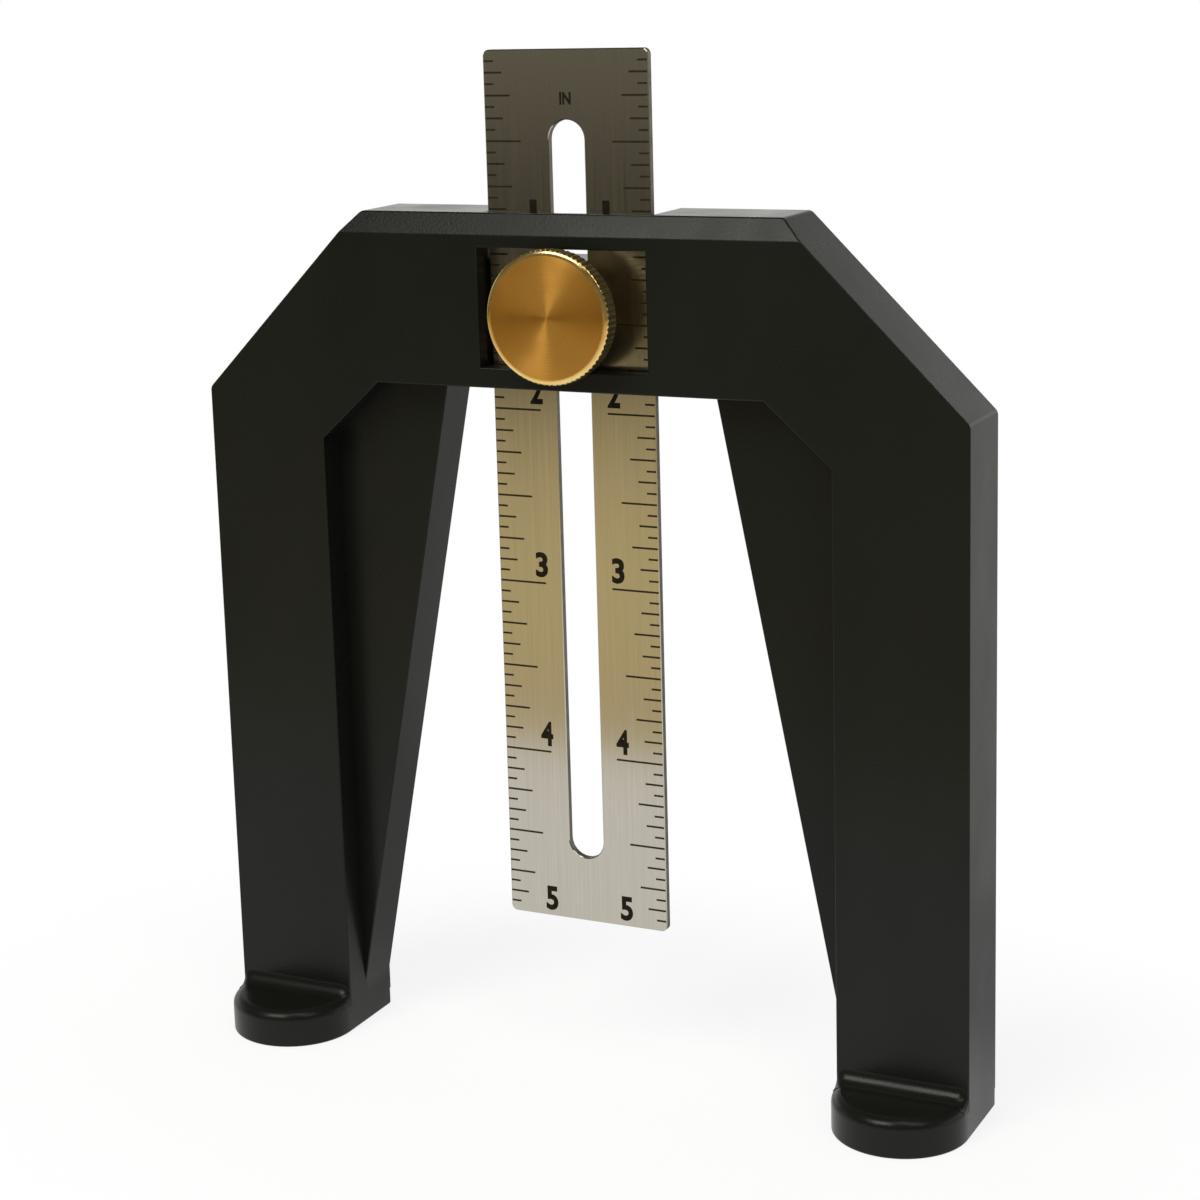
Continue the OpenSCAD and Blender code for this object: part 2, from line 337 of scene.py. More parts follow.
# Plain metals: name, base colour, worn colour, roughness from and to, depth of the tooth in metres.
metals = {
    "sheared": ("steel_sheared_edge", (0.17, 0.155, 0.13), (0.25, 0.23, 0.195), (0.48, 0.62), 0.00001),
    # Knob's front edge: a smoother polish, with its colour painted paler and brighter than the face's brass
    # as a painted highlight.
    "bright": ("spun_brass_polished_edge_painted_highlight", (0.78, 0.52, 0.18), (0.86, 0.62, 0.26), (0.16, 0.24), 0.000004),
    # Knob's knurl and back: a rougher finish, with its colour painted darker than the face's brass as painted
    # shade.
    "dull_and_shaded": ("spun_brass_back_painted_shade", (0.30, 0.25, 0.12), (0.37, 0.31, 0.15), (0.42, 0.55), 0.000006),
    "zinc": ("zinc_plate", (0.50, 0.51, 0.53), (0.64, 0.64, 0.63), (0.26, 0.38), 0.000006),
    "stamped": ("washer_brass_stamped", (0.66, 0.46, 0.19), (0.76, 0.58, 0.28), (0.3, 0.44), 0.000008),
    "insert": ("insert_brass_turned", (0.64, 0.45, 0.19), (0.74, 0.55, 0.26), (0.26, 0.38), 0.000006),
    "nickel": ("nickel_plate", (0.56, 0.55, 0.52), (0.66, 0.65, 0.62), (0.18, 0.3), 0.000004),
}

studLow, studHigh = boxMm("thumbscrew_stud")
clampAxisZ = (studLow[2] + studHigh[2]) / 2
finishes = {"plastic": blackPlastic(plastic), "steel": brushedSteel(steel),
            "spun": spunBrass(spun, clampAxisZ)}
for key in ("lines", "digits"):
    finishes[key] = etchInk(ink, key)
for key, look in metals.items():
    finishes[key] = platedMetal(*look)
print("finishes made:", len(finishes))


# Rings round the clamp axis: radii [row, column] over the angles of a turn, and each row's place along Y.
def clampRings(radius, along, turn):
    x, z = radius * np.cos(turn), clampAxisZ + radius * np.sin(turn)
    return np.stack([x, along[:, None] + 0 * turn, z], -1)


arch = {"halfWidth": 59.25, "height": 127.0, "front": -1.1, "depth": 12.4, "shoulderRun": 26.5,
        "shoulderRise": 26.7, "cornerRadius": 1.2, "cornerSteps": 5, "legWidth": 19.4, "legStart": 2.5,
        "slantRun": 9.7, "slantRise": 8.8, "barHeight": 24.8, "webDepth": 7.6, "webTopX": 21.1,
        "webFootX": 41.1, "guideHalf": 13.05, "guideWall": 3.0, "bridgeFront": 4.43, "bridgeRise": 7.0,
        "windowLow": 2.9, "windowHeight": 17.1, "bevelHeight": 3.0, "bevelLean": 1.8, "edgeRadius": 0.22,
        "edgeSteps": 3, "sharpTurn": 28, "evenShade": 80}


# Marks the outer edges that turn by more than the angle, for the rounding; hollow edges stay crisp.
def markOuterEdges(mesh, angle):
    work = bmesh.new()
    work.from_mesh(mesh)
    outer = [float(edge.is_convex and edge.calc_face_angle(0) > angle) for edge in work.edges]
    work.free()
    mesh.attributes.new("bevel_weight_edge", "FLOAT", "EDGE").data.foreach_set("value", outer)


# Surface of a block grid: one quad for each wall between a solid block and an empty one.
def blockWalls(solid, shape):
    index = np.arange(np.prod(shape)).reshape(shape)
    quads = []
    for axis in range(3):
        others = [k for k in range(3) if k != axis]
        pad = [(0, 0)] * 3
        pad[axis] = (1, 1)
        wall = np.argwhere(np.diff(np.pad(solid, pad), axis=axis) != 0)
        moves = np.zeros((4, 3), int)
        moves[1:3, others[0]] = 1
        moves[2:4, others[1]] = 1
        corners = wall[:, None, :] + moves[None]
        quads.append(index[corners[..., 0], corners[..., 1], corners[..., 2]])
    return np.concatenate(quads)


# The moulding as a block grid: x lines are functions of height (shoulders, slants and webs), the front y line
# leans back at the top, and a mask says which blocks are solid.
def archBlocks(a):
    barZ, shoulderZ, topZ = a["height"] - a["barHeight"], a["height"] - a["shoulderRise"], a["height"]
    legX = a["halfWidth"] - a["legWidth"]
    webSlope = (a["webFootX"] - a["webTopX"]) / barZ
    webMeetZ = (a["webFootX"] - legX) / webSlope
    windowZ = barZ + a["windowLow"]
    windowTop = windowZ + a["windowHeight"]
    bridgeTop = clampAxisZ + a["bridgeRise"]
    outline = softCorners([[a["halfWidth"], a["legStart"], 0], [a["halfWidth"], shoulderZ, a["cornerRadius"]],
                           [a["halfWidth"] - a["shoulderRun"], topZ, a["cornerRadius"]], [0, topZ, 0]],
                          a["cornerSteps"])[:-1]
    lines = [webMeetZ, barZ - a["slantRise"], barZ, windowZ, bridgeTop, windowTop, topZ - a["bevelHeight"]]
    z = np.unique(np.round(np.concatenate([outline[:, 1], lines]), 5))   # to 5 decimals: equal heights merge
    outer = np.interp(z, outline[:, 1], outline[:, 0])
    leg = legX - a["slantRun"] * np.clip((z - barZ) / a["slantRise"] + 1, 0, 1)
    web = a["webFootX"] - webSlope * np.clip(z, webMeetZ, barZ)
    guide = np.full_like(z, a["guideHalf"])
    x = np.stack([-outer, -leg, -web, -guide, guide, web, leg, outer])
    steps = np.array([0, a["guideWall"], a["bridgeFront"], a["depth"] - a["webDepth"], a["depth"]])
    y = a["front"] + np.repeat(steps[:, None], len(z), 1)
    y[0] += a["bevelLean"] * np.clip((z - topZ) / a["bevelHeight"] + 1, 0, 1)
    shape = (len(x), len(y), len(z))
    points = np.stack(np.broadcast_arrays(x[:, None, :], y[None, :, :], z[None, None, :]), -1).reshape(-1, 3)
    middle = (z[1:] + z[:-1]) / 2
    bar = middle > barZ
    solid = np.zeros((shape[0] - 1, shape[1] - 1, shape[2] - 1), int)
    solid[[0, 6]] = 1                                                    # legs
    solid[1:6:4, 3, (middle > webMeetZ) & (middle < barZ)] = 1           # webs
    solid[[1, 2, 4, 5]] |= bar                                           # crossbar arms
    solid[3, 0, bar & ((middle < windowZ) | (middle > windowTop))] = 1   # rails below and above the window
    solid[3, 2:, bar & (middle < bridgeTop)] = 1                         # bridge behind the rule
    mesh = bpy.data.meshes.new("arch_shell")
    mesh.from_pydata((points * mm).tolist(), [], blockWalls(solid, shape).tolist())
    closeUp(mesh, flatten=True)
    markOuterEdges(mesh, math.radians(a["sharpTurn"]))
    piece = placeMesh("arch_shell", mesh)
    rounding = piece.modifiers.new("edges", "BEVEL")
    rounding.width = a["edgeRadius"] * mm
    rounding.segments = a["edgeSteps"]
    rounding.limit_method = "WEIGHT"
    rounding.use_clamp_overlap = False
    keepModifiers(piece)
    return piece


foot = {"halfWidth": 9.73, "height": 5.6, "centreX": 49.55, "noseY": -1.45, "backY": 11.3,
        "cornerRadius": 0.6, "leastCorner": 0.05, "soleEdge": 0.35, "topEdge": 1.6, "pocketRadius": 6.08,
        "pocketDepth": 3.2, "pocketEdge": 0.2, "noseSteps": 61, "cornerSteps": 6, "sideSteps": 7,
        "soleSteps": 6, "topSteps": 9}


# Plan of a foot pulled in by d: half circle round the nose, straight sides, two small corners at the back.
def footPlan(f, d):
    r = f["halfWidth"] - d
    c = max(f["cornerRadius"] - d, f["leastCorner"])
    nose = np.linspace(0, math.pi, f["noseSteps"])
    quarter = np.linspace(0, math.pi / 2, f["cornerSteps"])
    run = np.linspace(0, 1, f["sideSteps"] + 2)[1:-1]
    flat = np.ones(f["sideSteps"])
    backY = f["backY"] - d
    sideY = f["noseY"] + run * (backY - c - f["noseY"])
    backX = run * 2 * (r - c) - (r - c)
    x = np.concatenate([r * np.cos(nose), -r * flat, -(r - c) - c * np.cos(quarter), backX,
                        (r - c) + c * np.sin(quarter), r * flat])
    y = np.concatenate([f["noseY"] - r * np.sin(nose), sideY, backY - c + c * np.sin(quarter),
                        backY * flat, backY - c + c * np.cos(quarter), sideY[::-1]])
    return x, y


# Foot: rings go from the magnet pocket's ceiling down its wall, out over the sole, up the side and over the
# rounded upper edge; each ring is the plan pulled in by a share of the edge's radius.
def footSkin(f, side):
    planX, planY = footPlan(f, 0)
    turn = np.arctan2(planY - f["noseY"], planX)
    rows = []
    for radius, height in ((f["pocketRadius"], f["pocketDepth"]), (f["pocketRadius"], f["pocketEdge"]),
                           (f["pocketRadius"] + f["pocketEdge"], 0)):
        rows.append((radius * np.cos(turn), f["noseY"] + radius * np.sin(turn), height))
    for bend in np.linspace(0, math.pi / 2, f["soleSteps"]):
        rise = f["soleEdge"] * (1 - math.cos(bend))
        rows.append((*footPlan(f, f["soleEdge"] * (1 - math.sin(bend))), rise))
    for bend in np.linspace(0, math.pi / 2, f["topSteps"]):
        rise = f["height"] - f["topEdge"] * (1 - math.sin(bend))
        rows.append((*footPlan(f, f["topEdge"] * (1 - math.cos(bend))), rise))
    rings = np.array([np.column_stack([side * f["centreX"] + x, y, np.full(len(x), h)]) for x, y, h in rows])
    return closedSkin("foot_form", rings)


fillet = {"radius": 2.2, "length": 19.3, "fade": 0.7, "endShare": 0.7, "sink": 0.015, "root": 0.9,
          "alongSteps": 41, "bendSteps": 13}


# How far an edge of the given radius has fallen away where it is passed by reach.
def edgeFall(radius, reach):
    return radius - np.sqrt(radius ** 2 - np.clip(reach, 0, radius) ** 2)


# Hollow fillet between foot and leg: a quarter circle hollow carried along X. Its radius fades at both ends,
# and its ends follow the rounded edges of foot and leg.
def filletSkin(f, side):
    along = f["length"] / 2 * np.sin(np.linspace(-math.pi / 2, math.pi / 2, f["alongSteps"]))
    past = np.clip((np.abs(along) - f["length"] / 2 + f["fade"]) / f["fade"], 0, 1)
    r = (f["radius"] * (f["endShare"] + (1 - f["endShare"]) * np.sqrt(1 - past ** 2)))[:, None]
    bend = np.linspace(-math.pi / 2, 0, f["bendSteps"])[None]
    drop = edgeFall(foot["topEdge"], np.abs(along) - foot["halfWidth"] + foot["topEdge"])[:, None]
    recede = edgeFall(arch["edgeRadius"], np.abs(along) - arch["legWidth"] / 2 + arch["edgeRadius"])[:, None]
    front, top = arch["front"] + f["sink"] + recede, foot["height"] - f["sink"] - drop
    y = np.concatenate([front - r + r * np.cos(bend), front + f["root"], front + f["root"], front - r], 1)
    z = np.concatenate([top + r + r * np.sin(bend), top + r, top - f["root"], top - f["root"]], 1)
    x = np.broadcast_to(side * foot["centreX"] + along[:, None], y.shape)
    return closedSkin("fillet_form", np.stack([x, y, z], -1))


# Stepped hole for the insert: rows are [radius, place along Y].
insertHole = {"profile": [[0, 2.6], [2.6, 2.6], [2.6, 3.9], [3.53, 3.9], [3.53, 10.15], [4.53, 10.15],
                          [4.53, 11.0], [4.85, 11.32], [4.85, 12.6], [0, 12.6]], "steps": 96}

archShell = archBlocks(arch)
for side in (-1, 1):
    combine(archShell, footSkin(foot, side), "UNION")
    combine(archShell, filletSkin(fillet, side), "UNION")
holeProfile = np.array(insertHole["profile"])
holeRings = clampRings(holeProfile[:, :1], holeProfile[:, 1], fullTurn(insertHole["steps"]))
combine(archShell, closedSkin("hole_form", holeRings), "DIFFERENCE")
closeUp(archShell.data)
shadeSmooth(archShell.data, meshing["smoothTurn"])
evenShade = archShell.modifiers.new("flat faces", "WEIGHTED_NORMAL")
evenShade.keep_sharp = True
evenShade.weight = arch["evenShade"]
dress(archShell, "frame", "black_plastic", [finishes["plastic"]], "arch_body")
print("arch made, faces:", len(archShell.data.polygons))

# The UV size is in metres; the lean gives the edges some width in u.
rule = {"cornerRadius": 0.9, "slotWidth": 5.5, "slotMargin": 9.7, "edge": 0.12, "cornerSteps": 8,
        "sideSteps": 24, "uvSize": (0.03, 0.15), "uvLean": 0.3, "edgeFacing": 0.5}


# Outline of the rule or of its slot: four quarter arcs joined by straight runs, from corner to corner.
def roundedOutline(r, halfX, halfZ, radius, midZ):
    quarter = np.linspace(0, math.pi / 2, r["cornerSteps"] + 1)
    run = np.linspace(0, 1, r["sideSteps"])[1:-1]
    spanX, spanZ = halfX - radius, halfZ - radius
    corners = [(spanX, spanZ), (-spanX, spanZ), (-spanX, -spanZ), (spanX, -spanZ)]
    x, z = [], []
    for k, (cx, cz) in enumerate(corners):
        nextX, nextZ = corners[(k + 1) % len(corners)]
        turn = quarter + k * math.pi / 2
        endX, endZ = radius * math.cos(turn[-1]), radius * math.sin(turn[-1])
        x += [cx + radius * np.cos(turn), cx + endX + run * (nextX - cx)]
        z += [cz + radius * np.sin(turn), cz + endZ + run * (nextZ - cz)]
    return np.concatenate(x), midZ + np.concatenate(z)


# Rule: eight rings run over the front, round the outer edge, over the back and up through the slot.
def ruleSkin(r):
    low, high = boxMm("rule")
    halfX, halfZ, midZ = (high[0] - low[0]) / 2, (high[2] - low[2]) / 2, (high[2] + low[2]) / 2
    slotX, slotZ, e = r["slotWidth"] / 2, halfZ - r["slotMargin"], r["edge"]
    rows = []
    for grow, y in ((-e, low[1]), (0, low[1] + e), (0, high[1] - e), (-e, high[1])):
        x, z = roundedOutline(r, halfX + grow, halfZ + grow, r["cornerRadius"] + grow, midZ)
        rows.append(np.column_stack([x, np.full(len(x), y), z]))
    for grow, y in ((e, high[1]), (0, high[1] - e), (0, low[1] + e), (e, low[1])):
        x, z = roundedOutline(r, slotX + grow, slotZ + grow, slotX + grow, midZ)
        rows.append(np.column_stack([x, np.full(len(x), y), z]))
    piece = closedSkin("rule_blade", np.array(rows), wrapRows=True)
    corners = readAll(piece.data.loops, "vertex_index", kind=np.int32).ravel()
    spots = readAll(piece.data.vertices, "co", 3)[corners]
    u = (spots[:, 0] + r["uvLean"] * spots[:, 1]) / r["uvSize"][0] + 0.5
    flatUv = np.column_stack([u, spots[:, 2] / r["uvSize"][1]])
    piece.data.uv_layers["UVMap"].data.foreach_set("uv", flatUv.astype(np.float32).ravel())
    facing = readAll(piece.data.polygons, "normal", 3)
    isEdge = np.abs(facing[:, 1]) < r["edgeFacing"]   # second finish: sheared edges
    piece.data.polygons.foreach_set("material_index", isEdge.astype(np.int32))
    return piece


# Reach gives a line's length by the largest of its keys, in sixteenths, that divides the line's number.
marks = {"inches": 5, "parts": 16, "reach": {16: 7.4, 8: 5.6, 4: 4.1, 2: 2.9, 1: 1.6}, "width": 0.28,
         "proud": 0.014, "sunk": 0.03, "digitHeight": 3.75, "digitWidth": 1.98, "oneWidth": 1.1,
         "digitLift": 0.70, "leftShift": 0.4, "unitHeight": 1.75, "unitWidth": 1.75, "unitDrop": 7.65,
         "bold": 0.035, "curveSteps": 4}


# Boxes from arrays of their lower and upper corners.
def boxMesh(low, high):
    pick = np.array([[0, 0, 0], [1, 0, 0], [1, 1, 0], [0, 1, 0], [0, 0, 1], [1, 0, 1], [1, 1, 1], [0, 1, 1]])
    points = np.where(pick[None] == 1, high[:, None, :], low[:, None, :])
    sides = np.array([[0, 3, 2, 1], [4, 5, 6, 7], [0, 1, 5, 4], [1, 2, 6, 5], [2, 3, 7, 6], [3, 0, 4, 7]])
    quads = sides[None] + len(pick) * np.arange(len(low))[:, None, None]
    return points.reshape(-1, 3), quads.reshape(-1, 4)


# Scale lines: line i lies i sixteenths of an inch below the rule's upper end, along its left and right edge.
def scaleLines(m, low, high):
    i = np.arange(1, m["inches"] * m["parts"])
    reach = np.select([i % k == 0 for k in m["reach"]], list(m["reach"].values()))
    z = high[2] - i * inchMm / m["parts"]
    front = np.full(len(i), low[1] - m["proud"])
    back = np.full(len(i), low[1] + m["sunk"])
    inset = rule["edge"]
    left = (np.column_stack([np.full(len(i), low[0] + inset), front, z - m["width"] / 2]),
            np.column_stack([low[0] + reach, back, z + m["width"] / 2]))
    right = (np.column_stack([high[0] - reach, front, z - m["width"] / 2]),
             np.column_stack([np.full(len(i), high[0] - inset), back, z + m["width"] / 2]))
    return boxMesh(np.concatenate([left[0], right[0]]), np.concatenate([left[1], right[1]]))


# A word as a thin solid in the rule's face: letters are scaled to the wanted height and width.
def wordMesh(word, height, width, x, z, align, frontY, m):
    curve = bpy.data.curves.new("word", "FONT")
    curve.body = word
    curve.size = 1.0
    curve.offset = m["bold"]
    curve.extrude = 0.5   # to both sides, so the thickness is 1 until it is scaled
    curve.resolution_u = m["curveSteps"]
    holder = bpy.data.objects.new("word", curve)
    scene.collection.objects.link(holder)
    graph = bpy.context.evaluated_depsgraph_get()
    made = bpy.data.meshes.new_from_object(holder.evaluated_get(graph), depsgraph=graph)
    points = readAll(made.vertices, "co", 3).astype(float)
    faces = [list(p.vertices) for p in made.polygons]
    bpy.data.objects.remove(holder)
    bpy.data.meshes.remove(made)
    points[:, :2] -= points[:, :2].min(0)
    points[:, :2] *= np.array([width, height]) / np.ptp(points[:, :2], axis=0)
    left = x - {"left": 0, "right": width, "centre": width / 2}[align]
    thick = m["proud"] + m["sunk"]
    placed = np.column_stack([left + points[:, 0], frontY + (0.5 - points[:, 2]) * thick, z + points[:, 1]])
    return placed, faces


# All marks as one mesh: the lines, a number above each inch line on both sides, and the unit.
def ruleMarks(m):
    low, high = boxMm("rule")
    points, quads = scaleLines(m, low, high)
    allPoints, allFaces = [points], quads.tolist()
    inner = m["reach"][m["parts"]]
    words = [("IN", m["unitHeight"], m["unitWidth"], 0, high[2] - m["unitDrop"], "centre")]
    for inch in range(1, m["inches"] + 1):
        z = high[2] - inch * inchMm + m["width"] / 2 + m["digitLift"]
        size = m["digitHeight"], m["oneWidth"] if inch == 1 else m["digitWidth"]
        words.append((str(inch), *size, low[0] + inner + m["leftShift"], z, "right"))
        words.append((str(inch), *size, high[0] - inner, z, "left"))
    count = len(points)
    for word in words:
        placed, faces = wordMesh(*word, low[1] - m["proud"], m)
        allFaces += [[k + count for k in face] for face in faces]
        allPoints.append(placed)
        count += len(placed)
    mesh = bpy.data.meshes.new("rule_marks")
    mesh.from_pydata((np.concatenate(allPoints) * mm).tolist(), [], allFaces)
    isDigit = np.arange(len(allFaces)) >= len(quads)   # second finish: digits
    mesh.polygons.foreach_set("material_index", isDigit.astype(np.int32))
    closeUp(mesh)
    return placeMesh("rule_marks", mesh)


ruleBlade = ruleSkin(rule)
dress(ruleBlade, "sliding_rule", "satin_steel", [finishes["steel"], finishes["sheared"]], "rule")
scaleMarks = ruleMarks(marks)
dress(scaleMarks, "sliding_rule", "satin_steel", [finishes["lines"], finishes["digits"]])
print("rule made, mark faces:", len(scaleMarks.data.polygons))

# Groove gives the steepness and the flat of the teeth; knurlStart is where the knurl begins and is full.
head = {"thick": 3.0, "edgeOut": 0.8, "edgeBack": 0.5, "edgeSteps": 9, "ridges": 72, "perRidge": 8,
        "knurlDepth": 0.26, "nickDepth": 0.2, "knurlLip": 0.03, "knurlStart": (0.03, 0.15),
        "groove": (1.3, 0.15), "faceRings": (0, 2, 4, 6.5), "hubRadius": 5.0, "hubRoot": 0.15,
        "hubEdge": 0.25, "hubGap": 0.01, "boreRadius": 2.42, "boreEdge": 0.15, "boreGap": 0.02,
        "sharpTurn": 28}


# Knob: a turned profile of face, rounded edge, knurl, rounded edge, back, hub and bore. The edges are quarter
# ellipses. A tooth wave of the angle caps the radius: deep in the knurl, and as nicks at the rounded edges.
def knobSkin(h):
    low, high = boxMm("thumbscrew_head")
    radius, y0, hubEnd = (high[0] - low[0]) / 2, low[1], high[1] - h["hubGap"]
    boreEnd = studLow[1] - h["boreGap"]
    core, backY = radius - h["knurlLip"], y0 + h["thick"]
    flat = core - h["edgeOut"]
    bend = np.linspace(0, math.pi / 2, h["edgeSteps"])
    edge = np.column_stack([flat + h["edgeOut"] * np.sin(bend), y0 + h["edgeBack"] * (1 - np.cos(bend))])
    knurlY = y0 + h["edgeBack"] + np.array(h["knurlStart"])
    farKnurlY = 2 * y0 + h["thick"] - knurlY[::-1]
    knurl = np.column_stack([np.array([core, radius, radius, radius, core]),
                             np.concatenate([knurlY, [y0 + h["thick"] / 2], farKnurlY])])
    farEdge = np.column_stack([edge[::-1, 0], 2 * y0 + h["thick"] - edge[::-1, 1]])
    back = softCorners([[flat, backY, 0], [h["hubRadius"], backY, h["hubRoot"]],
                        [h["hubRadius"], hubEnd, h["hubEdge"]], [h["boreRadius"], hubEnd, h["boreEdge"]],
                        [h["boreRadius"], boreEnd, 0], [0, boreEnd, 0]])[1:]
    face = np.array([[r, y0] for r in h["faceRings"]])
    profile = np.concatenate([face, edge, knurl, farEdge, back])
    steps = h["ridges"] * h["perRidge"]
    wave = np.arange(steps) / h["perRidge"] % 1
    groove = np.clip(h["groove"][0] * (1 - np.abs(2 * wave - 1)) - h["groove"][1], 0, 1)
    inKnurl = (profile[:, 1:] > knurlY[0]) & (profile[:, 1:] < farKnurlY[1])
    toothDepth = np.where(inKnurl, h["knurlDepth"], h["nickDepth"])
    capped = np.minimum(profile[:, :1], radius - toothDepth * groove[None])
    rings = clampRings(capped, profile[:, 1], fullTurn(steps))
    piece = closedSkin("knob", rings, sharpTurn=h["sharpTurn"])
    middles = readAll(piece.data.polygons, "center", 3) / mm
    isEdge = np.hypot(middles[:, 0], middles[:, 2] - clampAxisZ) > flat
    isBack = middles[:, 1] > knurlY[0]
    # The front edge is polished, and its colour is painted paler as a highlight; the knurl and back are
    # duller, and their colour is painted darker as shade.
    faceLooks = np.select([isBack, isEdge], [2, 1], 0)   # second finish: front edge, third: knurl and back
    piece.data.polygons.foreach_set("material_index", faceLooks.astype(np.int32))
    return piece


# Ridge gives the steepness and the flat of the thread; the stud's thread begins at the place startY.
thread = {"pitch": 0.8, "depth": 0.4, "ridge": (1.5, 0.15), "fade": 0.5, "startY": 1.2, "steps": 40,
          "rowsPerTurn": 14, "endRun": 0.6, "bevelRun": 0.35, "bevelDrop": 0.75}


# Thread as a radius field: a blunt triangle wave of (distance along / pitch - turn), faded out near the ends.
def threadField(t, along, turn, fadeStart, fadeStop):
    wave = (along[:, None] / t["pitch"] - turn[None] / (2 * math.pi)) % 1
    ridge = np.clip(t["ridge"][0] * (1 - np.abs(2 * wave - 1)) - t["ridge"][1], 0, 1)
    fade = np.clip(np.minimum(along - fadeStart, fadeStop - along) / t["fade"], 0, 1)
    return ridge * fade[:, None]


# Stud: root radius plus the thread field, pinched to a bevelled end.
def studSkin(t):
    low, high = studLow, studHigh
    radius = (high[0] - low[0]) / 2
    threadEnd = high[1] - t["endRun"]
    along = np.arange(low[1], threadEnd, t["pitch"] / t["rowsPerTurn"])
    turn = fullTurn(t["steps"])
    field = radius - t["depth"] + t["depth"] * threadField(t, along, turn, t["startY"], threadEnd)
    rows = [(0 * turn, low[1]), *zip(field, along), (0 * turn + radius - t["depth"], high[1] - t["bevelRun"]),
            (0 * turn + radius - t["bevelDrop"], high[1]), (0 * turn, high[1])]
    radii, places = zip(*rows)
    return closedSkin("stud", clampRings(np.array(radii), np.array(places), turn))


washer = {"bore": 2.6, "edge": 0.16, "frontEdge": 0.256, "lift": 0.01, "steps": 96}


# Washer: a ring profile with rounded stamped edges, spun about the clamp axis.
def washerSkin(w):
    low, high = boxMm("clamp_washer")
    radius, y0, y1, e = high[0], low[1] + w["lift"], high[1], w["edge"]
    profile = softCorners([[w["bore"], y0, e], [radius, y0, w["frontEdge"]], [radius, y1, e],
                           [w["bore"], y1, e]], closed=True)
    rings = clampRings(profile[:, :1], profile[:, 1], fullTurn(w["steps"]))
    return closedSkin("clamp_ring", rings, wrapRows=True)


insert = {"bore": 2.45, "shank": 3.5, "flange": 4.5, "flangeThick": 1.0, "groove": 0.22, "edge": 0.14,
          "rootEdge": 0.05, "backEdge": 0.21, "mouth": 0.35, "steps": 80, "rowsPerTurn": 10}


# Insert: flange and shank outside, and inside a bore whose radius carries the same thread field as a groove.
def insertSkin(i):
    low, high = boxMm("threaded_insert")
    y0, y1 = low[1], high[1]
    flangeY, mouthRadius = y1 - i["flangeThick"], i["bore"] + i["mouth"]
    turn = fullTurn(i["steps"])
    outside = softCorners([[mouthRadius, y0, 0], [i["shank"], y0, i["edge"]],
                           [i["shank"], flangeY, i["rootEdge"]], [i["flange"], flangeY, i["edge"]],
                           [i["flange"], y1, i["backEdge"]], [mouthRadius, y1, 0]])
    along = np.arange(y1 - i["mouth"], y0 + i["mouth"], -thread["pitch"] / i["rowsPerTurn"])
    bore = i["bore"] + i["groove"] * threadField(thread, along, turn, y0 + i["mouth"], y1 - i["mouth"])
    rows = [(r + 0 * turn, y) for r, y in outside] + list(zip(bore, along))
    radii, places = zip(*rows)
    return closedSkin("insert_bush", clampRings(np.array(radii), np.array(places), turn), wrapRows=True)


knob = knobSkin(head)
# One brass in three finishes: the face, the edge with a painted highlight, and the knurl and back with
# painted shade.
knobLooks = [finishes[key] for key in ("spun", "bright", "dull_and_shaded")]
dress(knob, "thumbscrew", "spun_brass", knobLooks, "thumbscrew_head")
stud = studSkin(thread)
dress(stud, "thumbscrew", "zinc_steel", [finishes["zinc"]], "thumbscrew_stud")
clampRing = washerSkin(washer)
dress(clampRing, "washer", "washer_brass", [finishes["stamped"]], "clamp_washer")
insertBush = insertSkin(insert)
dress(insertBush, "frame", "insert_brass", [finishes["insert"]], "threaded_insert")
print("clamp made, knob faces:", len(knob.data.polygons))

magnet = {"edge": 0.35, "topGap": 0.03, "steps": 96}


# Magnet: a disc profile [radius, height] with rounded edges, spun about an upright axis.
def magnetSkin(name, m):
    low, high = boxMm(name)
    radius, centre, top = (high[0] - low[0]) / 2, (high + low) / 2, high[2] - m["topGap"]
    profile = softCorners([[0, low[2], 0], [radius, low[2], m["edge"]],
                           [radius, top, m["edge"]], [0, top, 0]])
    turn = fullTurn(m["steps"])
    out, up = profile[:, :1], profile[:, 1:]
    rings = np.stack([centre[0] + out * np.cos(turn), centre[1] + out * np.sin(turn), up + 0 * turn], -1)
    return closedSkin(name + "_disc", rings)


for name in ("left_magnet", "right_magnet"):
    dress(magnetSkin(name, magnet), "frame", "nickel", [finishes["nickel"]], name)
print("magnets made")

floor = {"x": 330.0, "front": -142.0, "back": 92.0, "colour": (0.9, 0.9, 0.9), "near": 70.0, "far": 146.0,
         "depthScale": 1.6, "white": 0.82, "dimBehind": 0.5, "dimReach": 40.0}


# Camera rays, rays mirrored or passed on by a surface, and both, which should see the white surroundings.
def backdropRays(tree):
    path = addNode(tree, "ShaderNodeLightPath")
    camera = path.outputs["Is Camera Ray"]
    mirrored = mathNode(tree, "MAXIMUM", path.outputs["Is Glossy Ray"], path.outputs["Is Transmission Ray"])
    return camera, mirrored, mathNode(tree, "MAXIMUM", camera, mirrored)


